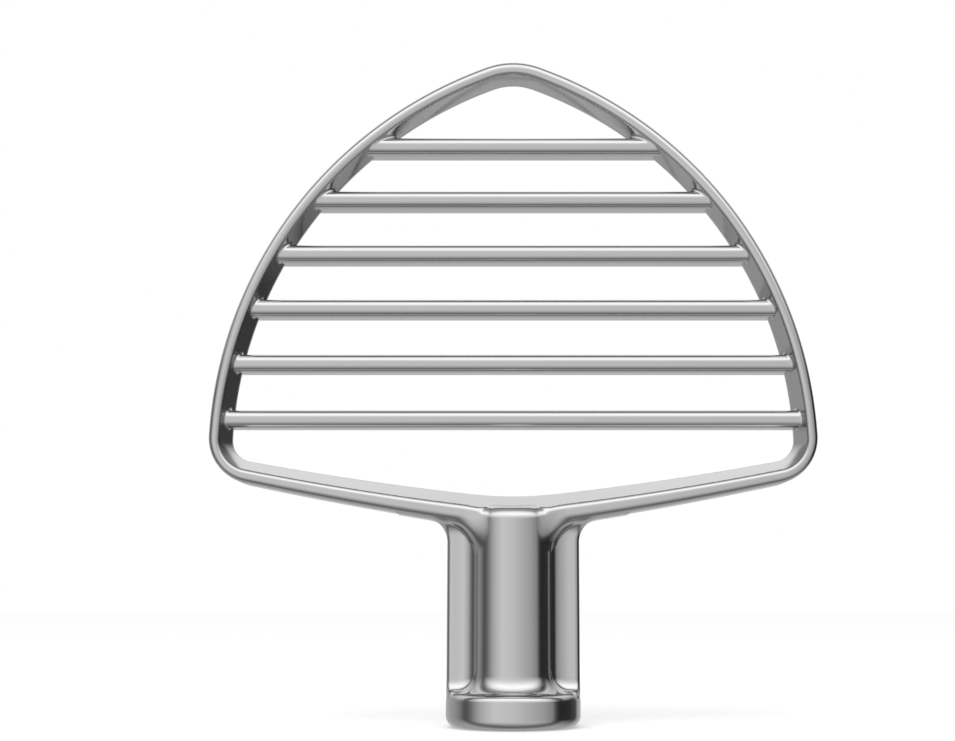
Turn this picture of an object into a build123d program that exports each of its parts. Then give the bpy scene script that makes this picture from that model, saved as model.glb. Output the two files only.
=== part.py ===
"""Pastry beater for a stand mixer, cast in one piece and standing on its hub collar."""
import os
from math import asin, cos, hypot, radians, sin, sqrt, tan

from build123d import *

# Sizes are in millimetres and degrees. Z points up from the collar's end face to the tip,
# X runs across the frame and Y through it, with the front at minus Y.

# Outer outline of the frame, from the tip round one side to the hub
tip_height = 140.4
tip_radius = 16.3
tip_sweep = 20.6
side_radius = 88.6
corner_start = 59.5
corner_radius = 10.0
arm_slope = 12.0
arm_radius = 775.0
centre_blend = 80.0

# Ridge of the frame's inner side, which lies in the middle plane
ridge_inset = 4.5
ridge_corner_start = 58.8
ridge_corner_radius = 4.4
ridge_slope = 10.3
ridge_arm_radius = 660.0

# Section of the frame: depth at the hub and at the tip, bevels and rounded edges
hub_rise = 3.443
hub_half_depth = 5.4
tip_half_depth = 4.2
bevel_angle = 24.7
bevel_arm_gain = 1.4
bevel_reach = 9.0
outer_round = 1.55
nose_round = 0.75
ridge_round = 0.8

# Cross bars
bar_count = 6
first_bar_height = 62.9
bar_pitch = 11.78
bar_thickness = 3.74
bar_depth = 7.2
bar_bury = 1.4

# Hub: collar, tube and two fins with a pocket on each face
collar_radius = 13.78
collar_height = 6.7
collar_bottom_round = 2.4
collar_top_round = 1.0
tube_radius = 8.4
tube_flare = 2.6
tube_top_round = 0.9
tube_top_slope = 14.0
tube_top_drop = 1.85
tube_blend = 2.0
fin_half_width = 13.65
fin_overlap = 0.25
fin_flare = 5.0
fin_edge_round = 1.1
web_half_depth = 2.1
pocket_land = 0.65
pocket_bottom = 7.6
pocket_gap = 0.95
pocket_floor_round = 3.4
pocket_corner = 1.1 * pocket_floor_round

# Socket for the mixer's shaft, and the slot that takes its cross pin
bore_radius = 6.45
bore_depth = 38.0
bore_chamfer = 0.8
pin_slot_width = 3.6
pin_slot_length = 18.8
pin_slot_depth = 6.0

# How far cutters run past the solid, and how near counts as touching
past = 10.0
near = 0.01


def arc_on(start, heading, radius, sweep):
    """Clockwise arc in the middle plane that leaves start along heading: edge, end, new heading."""
    centre_x = start[0] + radius * sin(heading)
    centre_z = start[1] - radius * cos(heading)

    def at(angle):
        return centre_x - radius * sin(heading - angle), centre_z + radius * cos(heading - angle)

    through = [Vector(x, 0, z) for x, z in (start, at(sweep / 2), at(sweep))]
    return Edge.make_three_point_arc(*through), at(sweep), heading - sweep


def outline(grow, corner_z, corner_r, slope, arm_r):
    """Closed outline of tip, side, corner, arm and centre arcs, mirrored about the axis.

    grow moves the tip and the sides outwards from the frame's outer outline.
    """
    edges = []
    edge, here, heading = arc_on((0, tip_height + grow), 0, tip_radius + grow, radians(tip_sweep))
    edges.append(edge)
    side_r = side_radius + grow
    side_centre_z = here[1] - side_r * cos(heading)
    side_sweep = heading + radians(90) - asin((corner_z - side_centre_z) / side_r)
    edge, here, heading = arc_on(here, heading, side_r, side_sweep)
    edges.append(edge)
    edge, here, heading = arc_on(here, heading, corner_r, heading + radians(180 - slope))
    edges.append(edge)
    arm_centre_x = here[0] + arm_r * sin(heading)
    centre_slope = asin(-arm_centre_x / (arm_r - centre_blend))
    edge, here, heading = arc_on(here, heading, arm_r, radians(slope) - centre_slope)
    edges.append(edge)
    edge, here, heading = arc_on(here, heading, centre_blend, centre_slope)
    edges.append(edge)
    return Wire(edges + [e.mirror(Plane.YZ) for e in edges])


def through_plate(wire, half):
    """The inside of an outline as a plate, half the depth to each side of the middle plane."""
    return extrude(Face(wire), half, dir=(0, 1, 0), both=True)


def spots(edge):
    """Points spread along an edge."""
    return [edge.position_at(t) for t in (0.02, 0.25, 0.5, 0.75, 0.98)]


# Outlines: the outside, the ridge of the inner side, and where its bevels come out
outer = outline(0, corner_start, corner_radius, arm_slope, arm_radius)
ridge = outline(-ridge_inset, ridge_corner_start, ridge_corner_radius, ridge_slope, ridge_arm_radius)
bevel_run = bevel_reach * tan(radians(bevel_angle))
mouth = outline(bevel_run - ridge_inset, ridge_corner_start, ridge_corner_radius + bevel_run,
                ridge_slope + bevel_arm_gain, ridge_arm_radius)
outer_low = outer.bounding_box().min.Z
ridge_low = ridge.bounding_box().min.Z
mouth_low = mouth.bounding_box().min.Z

# Blank for the frame: a plate that gets thinner towards the tip, rounded outside
hub_top = outer_low + hub_rise
taper = (hub_half_depth - tip_half_depth) / (tip_height - hub_top)
wedge_low = hub_top - past
wedge_high = tip_height + past
deep = hub_half_depth + taper * past
thin = tip_half_depth - taper * past
wedge = make_face(Polyline((0, -deep, wedge_low), (0, deep, wedge_low),
                           (0, thin, wedge_high), (0, -thin, wedge_high), close=True))
blank = through_plate(outer, deep) & extrude(wedge, side_radius, dir=(1, 0, 0), both=True)
faces = blank.faces().filter_by(lambda f: abs(f.normal_at().Y) > 0.9)
blank = fillet([e for f in faces for e in f.edges()], outer_round)

# Window: narrowest at the ridge and opening out to both faces, so the frame is bevelled inside
window = Solid.make_loft([mouth.translate((0, -bevel_reach, 0)), ridge,
                          mouth.translate((0, bevel_reach, 0))], True)
frame = blank - window
faces = frame.faces().filter_by(GeomType.PLANE).filter_by(lambda f: abs(f.normal_at().Y) > 0.9)
frame = fillet([e for f in faces for w in f.inner_wires() for e in w.edges()], nose_round)
crest = [e for e in frame.edges()
         if max(abs(p.Y) for p in spots(e)) < near and e.bounding_box().size.Y < near]
frame = fillet(crest, ridge_round)

# Cross bars, cut off inside the frame
core = through_plate(outline(-bar_bury, corner_start, corner_radius - bar_bury, arm_slope, arm_radius), deep)
bar = extrude(Plane.YZ * SlotOverall(bar_depth, bar_thickness), side_radius, dir=(1, 0, 0), both=True)
bar_heights = [first_bar_height + i * bar_pitch for i in range(bar_count)]
bars = [Pos(0, 0, z) * bar & core for z in bar_heights]

# Collar, flare and tube, turned as one
foot = collar_radius - collar_bottom_round
shoulder = collar_radius - collar_top_round
flare_edge = tube_radius + tube_flare
tube_foot = collar_height + tube_flare
tube_end = ridge_low + past
turned = make_face([
    Line((0, 0), (foot, 0)),
    CenterArc((foot, collar_bottom_round), collar_bottom_round, -90, 90),
    Line((collar_radius, collar_bottom_round), (collar_radius, collar_height - collar_top_round)),
    CenterArc((shoulder, collar_height - collar_top_round), collar_top_round, 0, 90),
    Line((shoulder, collar_height), (flare_edge, collar_height)),
    CenterArc((flare_edge, tube_foot), tube_flare, -90, -90),
    Polyline((tube_radius, tube_foot), (tube_radius, tube_end), (0, tube_end), (0, 0)),
])
stem = revolve(Plane.XZ * turned, Axis.Z)

# The tube's top slopes down to both faces from inside the arms, with a rounded rim
roof_slope = tan(radians(tube_top_slope))
for way in (-1, 1):
    roof = Plane(origin=(0, 0, ridge_low - tube_top_drop), z_dir=(0, way * roof_slope, 1))
    stem = split(stem, roof, keep=Keep.BOTTOM)
stem = fillet(stem.edges().filter_by(GeomType.ELLIPSE), tube_top_round)

# Fins: a slab flared into the arms, ending inside them, with faces that meet the arms' outer round
fin_half_depth = hub_half_depth - outer_round + fin_overlap
fin_top = outer_low + 0.4 * (ridge_low - outer_low)
fin_low = collar_height / 2
reach = 2 * (fin_half_width + fin_flare + past)
plan = Face(Wire.make_polygon([(-fin_half_width, 0, fin_low), (fin_half_width, 0, fin_low),
                               (fin_half_width, 0, ridge_low), (-fin_half_width, 0, ridge_low)]))
fins = extrude(Face(outer) + plan, fin_half_depth, dir=(0, 1, 0), both=True)
roots = [e for e in fins.edges().filter_by(Axis.Y)
         if abs(abs(e.center().X) - fin_half_width) < near and e.center().Z > collar_height]
fins = fillet(roots, fin_flare)
fins = fins & Pos(0, 0, fin_top / 2) * Box(reach, reach, fin_top)

# Pockets on both faces of both fins, open to the side, with a deep round all along the floor.
# A narrow land is left between the tube and the pocket's edge.
pocket_top = outer_low + pocket_gap
floor_rise = pocket_floor_round - (fin_half_depth - web_half_depth)
lip = pocket_floor_round - sqrt(pocket_floor_round ** 2 - floor_rise ** 2)
pocket_inner = sqrt(tube_radius ** 2 - fin_half_depth ** 2) + pocket_land - lip
pocket = Pos(pocket_inner, -web_half_depth, pocket_bottom) * Box(
    reach, past, pocket_top - pocket_bottom, align=(Align.MIN, Align.MAX, Align.MIN))
pocket = fillet(pocket.edges().filter_by(Axis.Y).group_by(Axis.X)[0], pocket_corner)
pocket = fillet(pocket.faces().sort_by(Axis.Y)[-1].edges(), pocket_floor_round)
pockets = [pocket, mirror(pocket, Plane.XZ)]
pockets += [mirror(p, Plane.YZ) for p in pockets]
fins = fins - pockets
rails = []
for e in fins.edges():
    inner_x = min(abs(p.X) for p in spots(e))
    inner_y = min(abs(p.Y) for p in spots(e))
    if inner_x > fin_half_width - near and web_half_depth - near < inner_y < fin_half_depth - near:
        rails.append(e)
fins = fillet(rails, fin_edge_round)

# The lowest part of the fins stays a hair inside the collar
ring_height = pocket_bottom + pocket_floor_round
ring = Cylinder(reach, 2 * ring_height) - Cylinder(collar_radius - 5 * near, 3 * ring_height)
fins = fins - ring

# One casting
beater = frame + (stem + fins)
joins = []
for e in beater.edges():
    on_tube = max(abs(hypot(p.X, p.Y) - tube_radius) for p in spots(e)) < near
    if on_tube and min(p.Z for p in spots(e)) > fin_top - past / 2 and e.length < tube_radius:
        if e.geom_type != GeomType.LINE:
            joins.append(e)
beater = fillet(joins, tube_blend)
beater = beater + bars

# Socket for the shaft, closed at its inner end
base = (Align.CENTER, Align.CENTER, Align.MIN)
beater = beater - Cylinder(bore_radius, bore_depth, align=base)
beater = beater - Cone(bore_radius + bore_chamfer, bore_radius, bore_chamfer, align=base)
beater = beater - Box(pin_slot_width, pin_slot_length, pin_slot_depth, align=base)

os.makedirs("parts", exist_ok=True)
export_step(beater, "parts/beater.step")
print("beater", beater.is_valid, len(beater.solids()), "solid", round(beater.volume), "mm3")
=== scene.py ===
# %% [markdown]
# # A pastry beater, cast in one piece and polished
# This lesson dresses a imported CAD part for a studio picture. The part is a mixer beater: an arched
# frame, six cross bars and a finned hub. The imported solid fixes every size. It is a mesh of uneven
# facets, which would show in a mirror finish, so we make a smooth skin of the same form here.

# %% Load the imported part
from itertools import product
from math import acos, asin, cos, pi, radians, sin, sqrt, tan

import bpy
import numpy as np
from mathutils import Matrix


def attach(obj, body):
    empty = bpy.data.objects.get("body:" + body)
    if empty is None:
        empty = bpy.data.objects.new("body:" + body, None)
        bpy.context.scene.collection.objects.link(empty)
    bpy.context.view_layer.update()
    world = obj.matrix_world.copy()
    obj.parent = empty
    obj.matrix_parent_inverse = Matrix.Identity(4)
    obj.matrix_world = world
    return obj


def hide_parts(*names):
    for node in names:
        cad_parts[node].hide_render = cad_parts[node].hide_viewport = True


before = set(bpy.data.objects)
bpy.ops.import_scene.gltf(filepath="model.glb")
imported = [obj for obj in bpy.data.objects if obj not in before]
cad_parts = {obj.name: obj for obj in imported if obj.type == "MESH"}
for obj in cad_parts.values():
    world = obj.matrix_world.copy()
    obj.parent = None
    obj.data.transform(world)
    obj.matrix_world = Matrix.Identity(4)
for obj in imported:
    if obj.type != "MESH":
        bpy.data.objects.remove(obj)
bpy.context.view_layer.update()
scene = bpy.context.scene

# %% [markdown]
# ## The outlines
# Seen from the front, the frame is drawn with five arcs on each side: tip, side, corner, arm and a
# short arc under the hub. Each arc starts where the last one ends and in the same direction, so one
# rule draws them all. Sizes are in millimetres, with Z up from the collar's end face, X across and Y
# through the part. An outline is kept as a list of arcs: centre, radius and the turn at both ends.

# %% Outlines as tangent arcs
MM = 0.001
TIP_HEIGHT, TIP_RADIUS, TIP_TURN = 140.4, 16.3, radians(20.6)
SIDE_RADIUS, CENTRE_RADIUS = 88.6, 80.0


def outline(grow, corner_start, corner_radius, arm_slope, arm_radius):
    """Arcs from the tip down one side to the hub; grow moves the tip and the side outwards."""
    arcs = []
    x, z, turn = 0.0, TIP_HEIGHT + grow, 0.0

    def add(radius, end):
        nonlocal x, z, turn
        centre_x, centre_z = x - radius * sin(turn), z - radius * cos(turn)
        arcs.append((centre_x, centre_z, radius, turn, end))
        x, z, turn = centre_x + radius * sin(end), centre_z + radius * cos(end), end

    add(TIP_RADIUS + grow, TIP_TURN)
    side = SIDE_RADIUS + grow
    add(side, acos((corner_start - z + side * cos(turn)) / side))
    add(corner_radius, pi - arm_slope)
    arm_x = x - arm_radius * sin(turn)
    add(arm_radius, pi - asin(-arm_x / (arm_radius - CENTRE_RADIUS)))
    add(CENTRE_RADIUS, pi)
    return arcs


def lowest(arcs):
    """Height of an outline's lowest point, on the axis."""
    return arcs[-1][1] - arcs[-1][2]


BEVEL_REACH, BEVEL_ANGLE, RIDGE_INSET = 9.0, radians(24.7), 4.5
bevel_run = BEVEL_REACH * tan(BEVEL_ANGLE)
rim_arcs = outline(0, 59.5, 10.0, radians(12.0), 775.0)
ridge_arcs = outline(-RIDGE_INSET, 58.8, 4.4, radians(10.3), 660.0)
mouth_arcs = outline(bevel_run - RIDGE_INSET, 58.8, 4.4 + bevel_run, radians(11.7), 660.0)
RIM_LOW, RIDGE_LOW = lowest(rim_arcs), lowest(ridge_arcs)
print("arm is", round(RIDGE_LOW - RIM_LOW, 2), "mm thick at the hub")

# %% [markdown]
# ## A form as a distance field
# A casting has no seams: its frame, tube and fins run into each other through rounded corners. Mesh
# modelling makes that hard, because a Boolean leaves a sharp line. A distance field makes it easy. It
# is a function that says how far a point is from the surface, below zero inside. Two fields meet in
# their larger value and join in their smaller one, and a rolled corner is one more line of algebra.

# %% Distance to an outline, and rounded corners
def distance(arcs, x, z):
    """Distance to an outline, below zero inside, and the turn of the nearest normal."""
    x, best, way = np.maximum(abs(x), 1e-6), np.full(x.shape, 1e9), np.zeros(x.shape)
    for centre_x, centre_z, radius, start, end in arcs:
        turn = np.arctan2(x - centre_x, z - centre_z)
        gap = np.hypot(x - centre_x, z - centre_z) - radius
        nearer = (turn >= start - 1e-9) & (turn <= end + 1e-9) & (abs(gap) < abs(best))
        best, way = np.where(nearer, gap, best), np.where(nearer, turn, way)
    return best, way


def meet(a, b, radius, lean=0.0):
    """What two fields have in common, its edge rounded. lean is the cosine between their normals."""
    u, v = a + radius, b + radius
    arc = np.sqrt(np.maximum(u * u + v * v - 2 * lean * u * v, 0) / (1 - lean * lean)) - radius
    return np.where((u > lean * v) & (v > lean * u), arc, np.maximum(a, b))


def join(a, b, radius, lean=0.0):
    """Two fields in one, with a fillet where they meet."""
    return -meet(-a, -b, radius, lean)


def gradient(field, x, y, z, step=0.01):
    """Direction in which a field grows, by small steps along each axis."""
    return np.stack([field(x + step, y, z) - field(x - step, y, z),
                     field(x, y + step, z) - field(x, y - step, z),
                     field(x, y, z + step) - field(x, y, z - step)], -1) / (2 * step)


below = distance(rim_arcs, np.zeros(1), np.array([RIM_LOW - 1.0]))[0]
print("a point 1 mm under the arms is", below.round(3), "mm outside the outline")

# %% [markdown]
# ## The frame's section
# The frame is a flat bar that gets thinner towards the tip. Buffing has rounded its outer edges so far
# that hardly any flat is left on the two faces. Inside, two bevels run from a soft nose on each face
# to a ridge in the middle plane. The part is the same on both sides and on both faces, so the fields
# only need positive X and Y.

# %% Fields of the frame: a rounded plate, and the bevelled window in it
HUB_HALF_DEPTH, TIP_HALF_DEPTH = 5.4, 4.2
NOSE_SHARE, NOSE_TAKES, LEAST_ROUND, MOST_ROUND, RIDGE_ROUND = 0.48, 0.65, 1.4, 3.2, 1.3
LEAST_SLOPE, MOST_SLOPE, HUB_RISE = 0.3, 0.9, 3.443
TUBE_NOSE, BROW_START, BROW_DROP, BROW_EASE, BROW_LEVEL = 3.2, 5.6, 2.2, 1.0, 0.8
BROW_SIDE, BROW_FADE, BROW_HIGHEST = 8.5, 5.0, 60.0
hub_top = RIM_LOW + HUB_RISE
taper = (HUB_HALF_DEPTH - TIP_HALF_DEPTH) / (TIP_HEIGHT - hub_top)


def section(x, z):
    """The section at a place: distances to rim and ridge, bevel slope, half depth, nose, round."""
    rim, ridge, mouth = (distance(arcs, x, z)[0] for arcs in (rim_arcs, ridge_arcs, mouth_arcs))
    slope = np.clip((ridge - mouth) / BEVEL_REACH, LEAST_SLOPE, MOST_SLOPE)
    depth = HUB_HALF_DEPTH - taper * (z - hub_top)
    width = ridge - rim - slope * depth
    nose = np.clip(NOSE_SHARE * width, LEAST_ROUND / 2, MOST_ROUND / 2)
    outer_round = np.clip(width - NOSE_TAKES * nose, LEAST_ROUND, MOST_ROUND)
    return rim, ridge, slope, depth, nose, outer_round


def plate_field(x, y, z):
    rim, _, _, depth, _, outer_round = section(x, z)
    return meet(rim, y - depth, outer_round)


def cut_window(solid, x, y, z):
    """Cuts the bevelled window. Over the tube the bevel levels out, and its nose is much rounder."""
    _, ridge, slope, _, nose, _ = section(x, z)
    steep = np.sqrt(1 + slope * slope)
    crown = (RIDGE_ROUND * steep - np.sqrt(np.maximum(RIDGE_ROUND ** 2 - y * y, 0))) / slope
    out = np.where(y < RIDGE_ROUND * slope / steep, crown, y)
    at_tube = np.clip((BROW_SIDE - x) / BROW_FADE, 0, 1) * (z < BROW_HIGHEST)
    at_tube = at_tube * at_tube * (3 - 2 * at_tube)
    past = np.maximum((out - BROW_START + BROW_DROP * at_tube) / BROW_EASE, 0)
    out = out - BROW_LEVEL * BROW_EASE * np.where(past < 1, past ** 3 - past ** 4 / 2, past - 0.5)
    fall = slope * (1 - BROW_LEVEL * np.where(past < 1, past * past * (3 - 2 * past), 1))
    steep = np.sqrt(1 + fall * fall)
    nose = nose + (TUBE_NOSE - nose) * at_tube
    return meet(solid, (out * slope - ridge) / steep, nose, fall / steep)


print("frame thins by", round(taper, 4), "mm for each mm towards the tip")

# %% [markdown]
# ## The hub
# A collar, a tube and a flare between them are turned about the axis. Two fins stiffen the tube. Each
# has a pocket on both faces, open to the side, with a deep round along its floor and a soft rim. The
# socket for the mixer's shaft is a plain hole.

# %% Fields of the tube, the fins and the socket
COLLAR_RADIUS, COLLAR_HEIGHT, COLLAR_TOP_ROUND, COLLAR_BOTTOM_ROUND = 13.78, 6.7, 1.0, 2.4
TUBE_RADIUS, TUBE_FLARE, FLARE_STRETCH, TUBE_BLEND = 8.4, 3.2, 1.6, 7.0
FIN_HALF_WIDTH, FIN_HALF_DEPTH, FIN_FLARE, FIN_EDGE_ROUND, FIN_BLEND = 13.65, 3.9, 5.0, 1.1, 1.0
WEB_HALF_DEPTH, POCKET_INNER, POCKET_BOTTOM, POCKET_RISE = 1.7, 6.8, 5.8, 1.8
POCKET_FLOOR_ROUND, POCKET_RIM_ROUND, FIN_SHY = 4.6, 1.0, 0.05
BORE_RADIUS, BORE_DEPTH, BORE_CHAMFER = 6.45, 38.0, 0.8
PIN_SLOT_WIDTH, PIN_SLOT_LENGTH, PIN_SLOT_DEPTH = 3.6, 18.8, 6.0
fin_top = RIM_LOW + 0.4 * (RIDGE_LOW - RIM_LOW)
floor_rise = POCKET_FLOOR_ROUND - (FIN_HALF_DEPTH - WEB_HALF_DEPTH)
pocket_top, pocket_corner = RIM_LOW + POCKET_RISE, 1.1 * POCKET_FLOOR_ROUND


def wall_field(x, y, z):
    return np.maximum.reduce([np.hypot(x, y) - TUBE_RADIUS, COLLAR_HEIGHT / 2 - z,
                              z - RIDGE_LOW - TUBE_BLEND])


def collar_field(x, y, z):
    radius = np.hypot(x, y)
    body = join(radius - TUBE_RADIUS, (z - COLLAR_HEIGHT) / FLARE_STRETCH, TUBE_FLARE)
    body = meet(body, radius - COLLAR_RADIUS, COLLAR_TOP_ROUND)
    return meet(body, -z, COLLAR_BOTTOM_ROUND)


def fin_field(x, y, z):
    rim, turn = distance(rim_arcs, x, z)
    side = x - FIN_HALF_WIDTH
    flared = join(side, rim, FIN_FLARE, np.clip(np.sin(turn), 0, 0.95))
    plan = np.where(z > COLLAR_HEIGHT, flared, side)
    pocket = np.maximum(meet(POCKET_INNER - x, POCKET_BOTTOM - z, pocket_corner),
                        meet(POCKET_INNER - x, z - pocket_top, pocket_corner))
    pocket = meet(pocket, WEB_HALF_DEPTH - y, POCKET_FLOOR_ROUND)
    face = meet(-pocket, y - FIN_HALF_DEPTH, POCKET_RIM_ROUND, floor_rise / POCKET_FLOOR_ROUND)
    slab = np.maximum.reduce([meet(plan, face, FIN_EDGE_ROUND), z - fin_top,
                              COLLAR_HEIGHT - COLLAR_TOP_ROUND - z])
    low = z < POCKET_BOTTOM + POCKET_FLOOR_ROUND
    return np.where(low, np.maximum(slab, np.hypot(x, y) - COLLAR_RADIUS + FIN_SHY), slab)


def bore_field(x, y, z):
    radius = np.hypot(x, y)
    hole = np.maximum(radius - BORE_RADIUS, z - BORE_DEPTH)
    cone = np.maximum((radius - BORE_RADIUS - BORE_CHAMFER + z) / sqrt(2), z - BORE_CHAMFER)
    slot = np.maximum.reduce([x - PIN_SLOT_WIDTH / 2, y - PIN_SLOT_LENGTH / 2, z - PIN_SLOT_DEPTH])
    return np.minimum.reduce([hole, cone, slot])


print("pockets run from", POCKET_BOTTOM, "to", round(pocket_top, 2), "mm above the end face")

# %% [markdown]
# ## One casting
# Where the tube runs into the arms, the mould leaves a broad fillet. Its radius is only true when the
# field knows the angle between the two surfaces, so we measure that from their gradients, near the hub
# only. The fins and the collar join with a small fillet. Where two surfaces nearly coincide a fillet
# would bulge, so there we tell the field that their normals lean the same way.

# %% Field of the casting
BLEND_SIDE, BLEND_BELOW, BLEND_ABOVE, BLEND_REACH = 16.0, 7.0, 2.0, 6.0
HUB_SIDE, COLLAR_END, FILLET_FADE, MOST_LEAN, FAR = 24.0, 14.0, 12.5, 0.95, 1e3


def cosine(a, b):
    """Cosine between two sets of vectors."""
    return (a * b).sum(-1) / np.maximum(np.linalg.norm(a, axis=-1) * np.linalg.norm(b, axis=-1), 1e-6)


def casting_field(x, y, z):
    x, y = abs(x), abs(y)
    plate, wall = plate_field(x, y, z), wall_field(x, y, z)
    front = np.minimum(plate, wall)
    near = (x < BLEND_SIDE) & (z > RIM_LOW - BLEND_BELOW) & (z < RIDGE_LOW + BLEND_ABOVE)
    near &= (abs(wall) < BLEND_REACH) & (abs(plate) < BLEND_REACH)
    if near.any():
        spot = x[near], y[near], z[near]
        lean = cosine(gradient(plate_field, *spot), gradient(wall_field, *spot))
        front[near] = join(plate[near], wall[near], TUBE_BLEND, np.clip(lean, -MOST_LEAN, MOST_LEAN))
    whole = cut_window(front, x, y, z)
    low = (x < HUB_SIDE) & (z < RIDGE_LOW)
    if low.any():
        spot = x[low], y[low], z[low]
        lean = np.clip(0.15 * (RIM_LOW - spot[2]), 0.2, 0.9)
        hub = join(whole[low], fin_field(*spot), FIN_BLEND, lean)
        lean = np.maximum(0.3 * (spot[2] - COLLAR_HEIGHT), np.hypot(*spot[:2]) - FILLET_FADE)
        collar = collar_field(*spot) + FAR * (spot[2] > COLLAR_END)
        hub = join(hub, collar, FIN_BLEND, np.clip(lean, 0, MOST_LEAN))
        whole[low] = np.maximum(hub, -bore_field(*spot))
    return whole


inside_tip = casting_field(np.zeros(1), np.zeros(1), np.array([TIP_HEIGHT - RIDGE_INSET / 2]))
print("field halfway through the tip, in mm:", inside_tip.round(2))

# %% [markdown]
# ## From the field to a mesh
# We sample the field on a grid and put one vertex in each cell that the surface crosses. Neighbouring
# cells give the faces. Three Newton steps then pull each vertex exactly onto the surface, and the
# gradient there is the exact normal. Exact normals matter more than small faces in a mirror finish.

# %% Sample the field and find the crossed cells
GRID, HALF_WIDTH, HALF_DEPTH, HEIGHT = 0.44, 63.2, 13.9, 140.5
counts = [int(np.ceil(size / GRID)) + 2 for size in (HALF_WIDTH, HALF_DEPTH, HEIGHT)]
axis_x, axis_y = GRID * np.arange(counts[0]), GRID * np.arange(counts[1])
axis_z = GRID * np.arange(counts[2] + 2) - 1.5 * GRID
quarter = casting_field(*np.meshgrid(axis_x, axis_y, axis_z, indexing="ij"))
half = np.concatenate([quarter[:0:-1], quarter])
values = np.concatenate([half[:, :0:-1], half], axis=1)
first = np.array([-axis_x[-1], -axis_y[-1], axis_z[0]])
inside = values < 0
shape = tuple(n - 1 for n in values.shape)
steps = list(product((0, 1), repeat=3))
filled = sum(inside[i:i + shape[0], j:j + shape[1], k:k + shape[2]].astype(np.int8)
             for i, j, k in steps)
cells = np.argwhere((filled > 0) & (filled < 8))
print("grid", values.shape, "crossed cells", len(cells))

# %% One vertex per cell, pulled onto the surface
corner = {s: values[tuple((cells + s).T)] for s in steps}
total, hits = np.zeros((len(cells), 3)), np.zeros((len(cells), 1))
for low, high in product(steps, steps):
    if sum(high) - sum(low) == 1 and all(h >= l for l, h in zip(low, high)):
        a, b = corner[low], corner[high]
        crossed = ((a < 0) != (b < 0))[:, None]
        share = (a / np.where(a == b, 1, a - b))[:, None]
        total += np.where(crossed, np.array(low) + share * (np.array(high) - np.array(low)), 0)
        hits += crossed
points = first + GRID * (cells + total / hits)
for _ in range(3):
    slope = gradient(casting_field, *points.T)
    size = np.maximum((slope ** 2).sum(-1, keepdims=True), 0.25)
    points = points - np.clip(casting_field(*points.T)[:, None] * slope / size, -GRID / 2, GRID / 2)
normals = gradient(casting_field, *points.T)
normals /= np.maximum(np.linalg.norm(normals, axis=-1, keepdims=True), 1e-9)
miss = float(abs(casting_field(*points.T)).max())
print("vertices", len(points), "largest miss in mm", round(miss, 4))

# %% Faces between neighbouring cells
number = np.full(shape, -1)
number[tuple(cells.T)] = np.arange(len(cells))
quads = []
for axis in range(3):
    a, b = (axis + 1) % 3, (axis + 2) % 3
    one = [slice(1, -1)] * 3
    two = [slice(1, -1)] * 3
    one[axis], two[axis] = slice(0, -1), slice(1, None)
    begin, end = inside[tuple(one)], inside[tuple(two)]
    for where, turned in ((begin & ~end, False), (end & ~begin, True)):
        node = np.argwhere(where)
        node[:, [a, b]] += 1
        ring = []
        for back_a, back_b in ((1, 1), (0, 1), (0, 0), (1, 0)):
            cell = node.copy()
            cell[:, a] -= back_a
            cell[:, b] -= back_b
            ring.append(number[tuple(cell.T)])
        quads.append(np.stack(ring[::-1] if turned else ring, -1))
quads = np.concatenate(quads)
casting_mesh = bpy.data.meshes.new("casting")
casting_mesh.from_pydata((points * MM).tolist(), [], quads.tolist())
casting_mesh.shade_smooth()
casting_mesh.normals_split_custom_set_from_vertices(normals.tolist())
facing = casting_mesh.attributes.new("facing", "FLOAT_VECTOR", "POINT")
facing.data.foreach_set("vector", normals.ravel())
casting = bpy.data.objects.new("casting", casting_mesh)
scene.collection.objects.link(casting)
print("casting faces", len(quads))

# %% [markdown]
# ## The cross bars
# Six equal bars span the window, each as long as the frame lets it be. That is a job for Geometry
# Nodes: one strip of grid is put on a line of points, and a ray from each of its vertices finds the
# frame. The strip's ends then roll out into a small foot, tangent to the bar and to the bevel it
# lands on, as in a casting. Each end is closed by a point inside the metal.

# %% Helpers for node trees
def place(tree, kind, *inputs, **settings):
    """Adds a node, sets its options, and links or fills its inputs in order."""
    node = tree.nodes.new(kind)
    for key, value in settings.items():
        setattr(node, key, value)
    for socket, value in zip((s for s in node.inputs if s.enabled), inputs):
        if isinstance(value, bpy.types.NodeSocket):
            tree.links.new(value, socket)
        elif value is not None:
            socket.default_value = value
    return node


def sockets(tree, direction, rows):
    """Gives a tree its named inputs or outputs: name, type and first value."""
    for name, kind, value in rows:
        socket = tree.interface.new_socket(name, in_out=direction, socket_type=kind)
        if value is not None:
            socket.default_value = value


print("cross bars start from", len(bpy.data.node_groups), "node groups")

# %% Node tree of the cross bars
FOOT_STEPS, AROUND = 6, 54
BAR_COUNT, FIRST_HEIGHT, PITCH = 6, 62.9 * MM, 11.78 * MM
THICKNESS, DEPTH, FOOT_RADIUS = 3.74 * MM, 7.2 * MM, 0.55 * MM
BACK_OFF, BURY, MERGE = 1.5 * MM, 0.4 * MM, 0.001 * MM
bars_tree = bpy.data.node_groups.new("Cross bars", "GeometryNodeTree")
sockets(bars_tree, "INPUT", [
    ("Frame", "NodeSocketObject", None), ("Finish", "NodeSocketMaterial", None),
    ("Count", "NodeSocketInt", BAR_COUNT), ("First height", "NodeSocketFloat", FIRST_HEIGHT),
    ("Pitch", "NodeSocketFloat", PITCH), ("Thickness", "NodeSocketFloat", THICKNESS),
    ("Depth", "NodeSocketFloat", DEPTH), ("Foot radius", "NodeSocketFloat", FOOT_RADIUS)])
sockets(bars_tree, "OUTPUT", [("Bars", "NodeSocketGeometry", None)])
given = bars_tree.nodes.new("NodeGroupInput").outputs


def number_of(operation, *values):
    return place(bars_tree, "ShaderNodeMath", *values, operation=operation).outputs[0]


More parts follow.
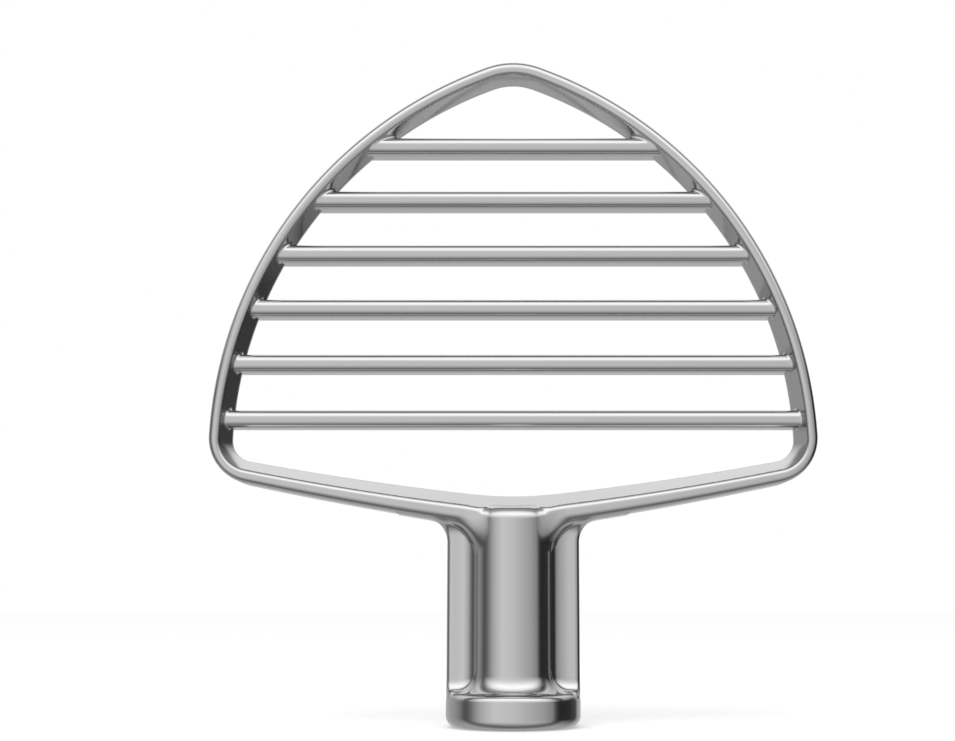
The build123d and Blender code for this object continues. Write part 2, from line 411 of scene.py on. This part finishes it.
def vector_of(operation, *values):
    node = place(bars_tree, "ShaderNodeVectorMath", *values, operation=operation)
    return node.outputs["Value" if operation == "DOT_PRODUCT" else "Vector"]


def scaled(vector, factor):
    node = place(bars_tree, "ShaderNodeVectorMath", vector, operation="SCALE")
    bars_tree.links.new(factor, node.inputs["Scale"])
    return node.outputs["Vector"]


def xyz(x, y, z):
    return place(bars_tree, "ShaderNodeCombineXYZ", x, y, z).outputs[0]


rows = 2 * (FOOT_STEPS + 4)
strip = place(bars_tree, "GeometryNodeMeshGrid", rows - 1, AROUND, rows, AROUND + 1).outputs["Mesh"]
where = bars_tree.nodes.new("GeometryNodeInputPosition").outputs[0]
keep_cell = bars_tree.nodes.new("GeometryNodeCaptureAttribute")
keep_cell.capture_items.new("VECTOR", "Cell")
bars_tree.links.new(strip, keep_cell.inputs[0])
bars_tree.links.new(where, keep_cell.inputs[1])
line = place(bars_tree, "GeometryNodeMeshLine", given["Count"], xyz(0.0, 0.0, given["First height"]),
             xyz(0.0, 0.0, given["Pitch"]))
keep_height = bars_tree.nodes.new("GeometryNodeCaptureAttribute")
keep_height.capture_items.new("VECTOR", "Centre")
bars_tree.links.new(line.outputs[0], keep_height.inputs[0])
bars_tree.links.new(where, keep_height.inputs[1])
copies = place(bars_tree, "GeometryNodeInstanceOnPoints", keep_height.outputs[0])
bars_tree.links.new(keep_cell.outputs[0], copies.inputs["Instance"])
strips = place(bars_tree, "GeometryNodeRealizeInstances", copies.outputs[0]).outputs[0]
print("strip of", rows, "by", AROUND + 1, "points for each bar")

# %% Section of a bar, and the rays that find the frame
cell = place(bars_tree, "ShaderNodeSeparateXYZ", keep_cell.outputs[1]).outputs
centre = keep_height.outputs[1]
side = number_of("SIGN", cell["X"])
level = number_of("SUBTRACT", number_of("ABSOLUTE", cell["X"]), 0.5)
angle = number_of("MULTIPLY", cell["Y"], 2 * pi / AROUND)
across, upward = number_of("COSINE", angle), number_of("SINE", angle)
round_radius = number_of("MULTIPLY", given["Thickness"], 0.5)
flat = number_of("MULTIPLY", number_of("SUBTRACT", given["Depth"], given["Thickness"]), 0.5)
outward = xyz(0.0, across, upward)
bar_skin = vector_of("ADD", scaled(outward, round_radius),
                     xyz(0.0, number_of("MULTIPLY", number_of("SIGN", across), flat), 0.0))
along = xyz(side, 0.0, 0.0)
target = place(bars_tree, "GeometryNodeObjectInfo", given["Frame"]).outputs["Geometry"]
facing_there = place(bars_tree, "GeometryNodeInputNamedAttribute", "facing",
                     data_type="FLOAT_VECTOR").outputs[0]


def ray(start):
    node = bars_tree.nodes.new("GeometryNodeRaycast")
    node.data_type = "FLOAT_VECTOR"
    for name, value in (("Target Geometry", target), ("Attribute", facing_there),
                        ("Source Position", start), ("Ray Direction", along)):
        bars_tree.links.new(value, node.inputs[name])
    node.inputs["Ray Length"].default_value = 1.0
    return node.outputs


hit = ray(vector_of("ADD", centre, bar_skin))
middle_hit = ray(centre)
bevel = vector_of("NORMALIZE", hit["Attribute"])
print("nodes up to the rays:", len(bars_tree.nodes))

# %% Rolled feet at both ends
foot = given["Foot radius"]
share = number_of("DIVIDE", number_of("SUBTRACT", 1.0, vector_of("DOT_PRODUCT", bevel, outward)),
                  vector_of("DOT_PRODUCT", bevel, along))
roll = vector_of("ADD", hit["Hit Position"], scaled(along, number_of("MULTIPLY", share, foot)))
roll = vector_of("ADD", roll, scaled(outward, foot))
turned = number_of("DIVIDE", number_of("SUBTRACT", level, 1.0), float(FOOT_STEPS))
turned = place(bars_tree, "ShaderNodeClamp", turned).outputs[0]
lean = vector_of("ADD", scaled(outward, number_of("SUBTRACT", 1.0, turned)), scaled(bevel, turned))
skin = vector_of("SUBTRACT", roll, scaled(vector_of("NORMALIZE", lean), foot))
before = number_of("MULTIPLY", number_of("LESS_THAN", level, 0.5), BACK_OFF)
buried = number_of("MULTIPLY", number_of("GREATER_THAN", level, FOOT_STEPS + 1.5), BURY)
skin = vector_of("SUBTRACT", skin, scaled(along, before))
skin = vector_of("SUBTRACT", skin, scaled(bevel, buried))
pole = vector_of("ADD", middle_hit["Hit Position"], scaled(along, number_of("MULTIPLY", buried, 2.0)))
at_pole = number_of("GREATER_THAN", level, FOOT_STEPS + 2.5)
final = place(bars_tree, "GeometryNodeSwitch", at_pole, skin, pole, input_type="VECTOR").outputs[0]
shaped = place(bars_tree, "GeometryNodeSetPosition", strips, True, final).outputs[0]
closed = bars_tree.nodes.new("GeometryNodeMergeByDistance")
closed.inputs["Distance"].default_value = MERGE
bars_tree.links.new(shaped, closed.inputs["Geometry"])
smooth = place(bars_tree, "GeometryNodeSetShadeSmooth", closed.outputs[0]).outputs[0]
whole = place(bars_tree, "GeometryNodeRealizeInstances", smooth).outputs[0]
finished = place(bars_tree, "GeometryNodeSetMaterial", whole, True, given["Finish"]).outputs[0]
place(bars_tree, "NodeGroupOutput", finished)
print("bar nodes", len(bars_tree.nodes))

# %% [markdown]
# ## Polished steel
# The casting is ground and buffed until it mirrors the room, but a hand-held wheel never leaves a
# perfect mirror. Faint waves bend the reflections and fine hairlines blur them. Both finishes on the
# part need that, the buffed outside and the bored socket, so it is a node group with its own inputs.

# %% Node group for the marks of polishing
polish = bpy.data.node_groups.new("Polishing marks", "ShaderNodeTree")
sockets(polish, "INPUT", [("Wave size", "NodeSocketFloat", 90.0), ("Hairlines", "NodeSocketFloat", 900.0),
                          ("Smoothest", "NodeSocketFloat", 0.1), ("Roughest", "NodeSocketFloat", 0.16)])
sockets(polish, "OUTPUT", [("Roughness", "NodeSocketFloat", None), ("Height", "NodeSocketFloat", None)])
marks = polish.nodes.new("NodeGroupInput").outputs
spot = polish.nodes.new("ShaderNodeTexCoord").outputs["Object"]
waves = place(polish, "ShaderNodeTexNoise", spot)
polish.links.new(marks["Wave size"], waves.inputs["Scale"])
waves.inputs["Detail"].default_value = 2.0
stretched = place(polish, "ShaderNodeMapping", spot)
stretched.inputs["Scale"].default_value = (0.12, 1.0, 1.0)
hairs = place(polish, "ShaderNodeTexNoise", stretched.outputs[0])
polish.links.new(marks["Hairlines"], hairs.inputs["Scale"])
hairs.inputs["Detail"].default_value = 3.0
span = place(polish, "ShaderNodeMapRange", hairs.outputs["Fac"], 0.3, 0.7)
polish.links.new(marks["Smoothest"], span.inputs["To Min"])
polish.links.new(marks["Roughest"], span.inputs["To Max"])
ends = polish.nodes.new("NodeGroupOutput")
polish.links.new(span.outputs[0], ends.inputs["Roughness"])
polish.links.new(waves.outputs["Fac"], ends.inputs["Height"])
print("polishing marks:", len(polish.nodes), "nodes")


# %% The two steel finishes
WAVE_HEIGHT, BORE_MARGIN = 0.05 * MM, 0.05


def steel(name, colour, bump, **marks_of):
    """A bare steel finish with its own polishing marks."""
    finish = bpy.data.materials.new(name)
    finish.use_nodes = True
    tree = finish.node_tree
    shader = tree.nodes["Principled BSDF"]
    shader.inputs["Base Color"].default_value = (*colour, 1)
    shader.inputs["Metallic"].default_value = 1.0
    group = tree.nodes.new("ShaderNodeGroup")
    group.node_tree = polish
    for key, value in marks_of.items():
        group.inputs[key.replace("_", " ")].default_value = value
    tree.links.new(group.outputs["Roughness"], shader.inputs["Roughness"])
    relief = tree.nodes.new("ShaderNodeBump")
    relief.inputs["Strength"].default_value = bump
    relief.inputs["Distance"].default_value = WAVE_HEIGHT
    tree.links.new(group.outputs["Height"], relief.inputs["Height"])
    tree.links.new(relief.outputs["Normal"], shader.inputs["Normal"])
    return finish


buffed = steel("buffed_steel", (0.58, 0.58, 0.58), 0.25, Smoothest=0.09, Roughest=0.15)
bored = steel("bored_steel", (0.5, 0.5, 0.5), 0.5, Smoothest=0.25, Roughest=0.4, Hairlines=2500.0)
casting_mesh.materials.append(buffed)
casting_mesh.materials.append(bored)
middles = points[quads].mean(1)
in_bore = np.hypot(middles[:, 0], middles[:, 1]) < BORE_RADIUS + BORE_MARGIN
in_bore &= middles[:, 2] < BORE_DEPTH + BORE_MARGIN
casting_mesh.polygons.foreach_set("material_index", in_bore.astype(np.int32))
print("bored faces", int(in_bore.sum()))

# %% Grow the bars and fix their mesh
bars = bpy.data.objects.new("cross_bars", bpy.data.meshes.new("cross_bars"))
scene.collection.objects.link(bars)
grower = bars.modifiers.new("Cross bars", "NODES")
grower.node_group = bars_tree
names = {item.name: item.identifier for item in bars_tree.interface.items_tree if item.in_out == "INPUT"}
grower[names["Frame"]] = casting
grower[names["Finish"]] = buffed
bars.data = bpy.data.meshes.new_from_object(bars.evaluated_get(bpy.context.evaluated_depsgraph_get()))
bars.modifiers.remove(grower)
print("bar faces", len(bars.data.polygons))

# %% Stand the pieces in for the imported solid
for piece in (casting, bars):
    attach(piece, "root")
    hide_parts("beater")
print("beater is shown by", casting.name, "and", bars.name)

# %% [markdown]
# ## The studio
# Polished metal shows its surroundings, so the light is mostly a matter of what it mirrors: a pale
# room, a soft box overhead and in front, and dark cards at both sides that draw the edges. We paint
# that room in the world by direction. Rays from the camera see plain white instead.

# %% The room that the metal mirrors
world = bpy.data.worlds.new("studio")
scene.world = world
world.use_nodes = True
room = world.node_tree
room.nodes.clear()


def room_math(operation, *values):
    return place(room, "ShaderNodeMath", *values, operation=operation).outputs[0]


def band(angle, stops):
    """Brightness by angle: stops are degrees and values, from -180 to 180."""
    ramp = place(room, "ShaderNodeValToRGB", room_math("ADD", room_math("DIVIDE", angle, 2 * pi), 0.5))
    points_on = ramp.color_ramp.elements
    while len(points_on) < len(stops):
        points_on.new(0.5)
    for element, (degrees, value) in zip(points_on, stops):
        element.position = degrees / 360 + 0.5
        element.color = (value / 2, value / 2, value / 2, 1)
    return room_math("MULTIPLY", ramp.outputs["Color"], 2.0)


way = place(room, "ShaderNodeSeparateXYZ", room.nodes.new("ShaderNodeTexCoord").outputs["Generated"]).outputs
ahead = room_math("MULTIPLY", way["Y"], -1.0)
rise = room_math("ARCTAN2", way["Z"], ahead)
turn = room_math("ARCTAN2", way["X"], ahead)
back_wall = [(-180, 0.55), (-150, 0.5), (-130, 0.5), (-112, 0.57)]
floor_ahead = [(-95, 0.3), (-78, 0.17), (-64, 0.35), (-48, 0.6), (-30, 0.8), (-5, 1.0)]
box_overhead = [(28, 1.1), (42, 1.5), (58, 1.75), (74, 1.3)]
ceiling = [(90, 0.35), (104, 0.2), (112, 0.35), (119, 1.1), (138, 1.17), (152, 0.75), (180, 0.55)]
upright = band(rise, back_wall + floor_ahead + box_overhead + ceiling)
left_back = [(-180, 0.6), (-155, 0.56), (-118, 0.44)]
left_card = [(-103, 0.3), (-92, 0.13), (-84, 0.14)]
front_wall = [(-76, 0.24), (-66, 0.45), (-56, 0.65), (-32, 0.93), (0, 0.85), (30, 0.66), (50, 0.55)]
right_card = [(70, 0.36), (77, 0.1), (84, 0.03), (112, 0.04), (122, 0.075), (132, 0.085)]
right_back = [(139, 0.35), (150, 0.55), (180, 0.6)]
level_round = band(turn, left_back + left_card + front_wall + right_card + right_back)
steep = place(room, "ShaderNodeMapRange", room_math("ABSOLUTE", way["Z"]), 0.25, 0.75).outputs[0]
mirrored = place(room, "ShaderNodeMix", steep, level_round, upright).outputs[0]
print("room painted with", len(room.nodes), "nodes")

# %% White for the camera, soft grey light for the floor
FLOOR_LIGHT, WHITE = 0.8, 1.0
rays = room.nodes.new("ShaderNodeLightPath").outputs
light_level = place(room, "ShaderNodeMix", rays["Is Glossy Ray"], FLOOR_LIGHT, mirrored).outputs[0]
seen = room_math("MAXIMUM", rays["Is Camera Ray"], rays["Is Transmission Ray"])
strength = place(room, "ShaderNodeMix", seen, light_level, WHITE).outputs[0]
glow = place(room, "ShaderNodeBackground", (1, 1, 1, 1), strength)
place(room, "ShaderNodeOutputWorld", glow.outputs[0])
soft_box = bpy.data.lights.new("soft_box", "AREA")
soft_box.size = 0.5
soft_box.energy = 1.2
lamp = bpy.data.objects.new("soft_box", soft_box)
lamp.location = (-0.12, -0.35, 0.55)
lamp.rotation_euler = (radians(35), 0, radians(-19))
lamp.visible_glossy = False
scene.collection.objects.link(lamp)
print("soft box of", soft_box.energy, "W at", tuple(round(v, 2) for v in lamp.location))

# %% [markdown]
# ## Floor and camera
# The floor is a plain pale sheet, so wide that its edge is never seen. The camera stands low and
# looks up a little, with the part's axis just right of the middle, as in the photograph.

# %% Floor
FLOOR_REACH, FLOOR_LIFT = 6.0, 0.26
floor_mesh = bpy.data.meshes.new("floor")
corners = [(-1, -1), (1, -1), (1, 1), (-1, 1)]
floor_mesh.from_pydata([(FLOOR_REACH * x, FLOOR_REACH * y, 0) for x, y in corners], [], [(0, 1, 2, 3)])
floor = bpy.data.objects.new("floor", floor_mesh)
scene.collection.objects.link(floor)
pale = bpy.data.materials.new("pale_floor")
pale.use_nodes = True
paint = pale.node_tree.nodes["Principled BSDF"]
paint.inputs["Base Color"].default_value = (0.9, 0.9, 0.9, 1)
paint.inputs["Roughness"].default_value = 0.9
paint.inputs["Specular IOR Level"].default_value = 0.0
paint.inputs["Emission Color"].default_value = (1, 1, 1, 1)
seen_by = pale.node_tree.nodes.new("ShaderNodeLightPath").outputs["Is Camera Ray"]
lift = place(pale.node_tree, "ShaderNodeMath", seen_by, FLOOR_LIFT, operation="MULTIPLY").outputs[0]
pale.node_tree.links.new(lift, paint.inputs["Emission Strength"])
floor_mesh.materials.append(pale)
floor.visible_glossy = False
print("floor is", 2 * FLOOR_REACH, "m wide")

# %% Camera
PITCH_UP = 8.74
camera_data = bpy.data.cameras.new("camera")
camera_data.sensor_width = 36.0
camera_data.lens = 57.52
camera_data.shift_x = -0.0374
camera = bpy.data.objects.new("camera", camera_data)
camera.location = (0, -0.3186, 0.02453)
camera.rotation_euler = (radians(90 + PITCH_UP), 0, 0)
camera_data.clip_start = 0.01
scene.collection.objects.link(camera)
scene.camera = camera
scene.view_settings.view_transform = "Standard"
print("camera lens", round(camera_data.lens, 2), "mm, pitched up", PITCH_UP, "degrees")
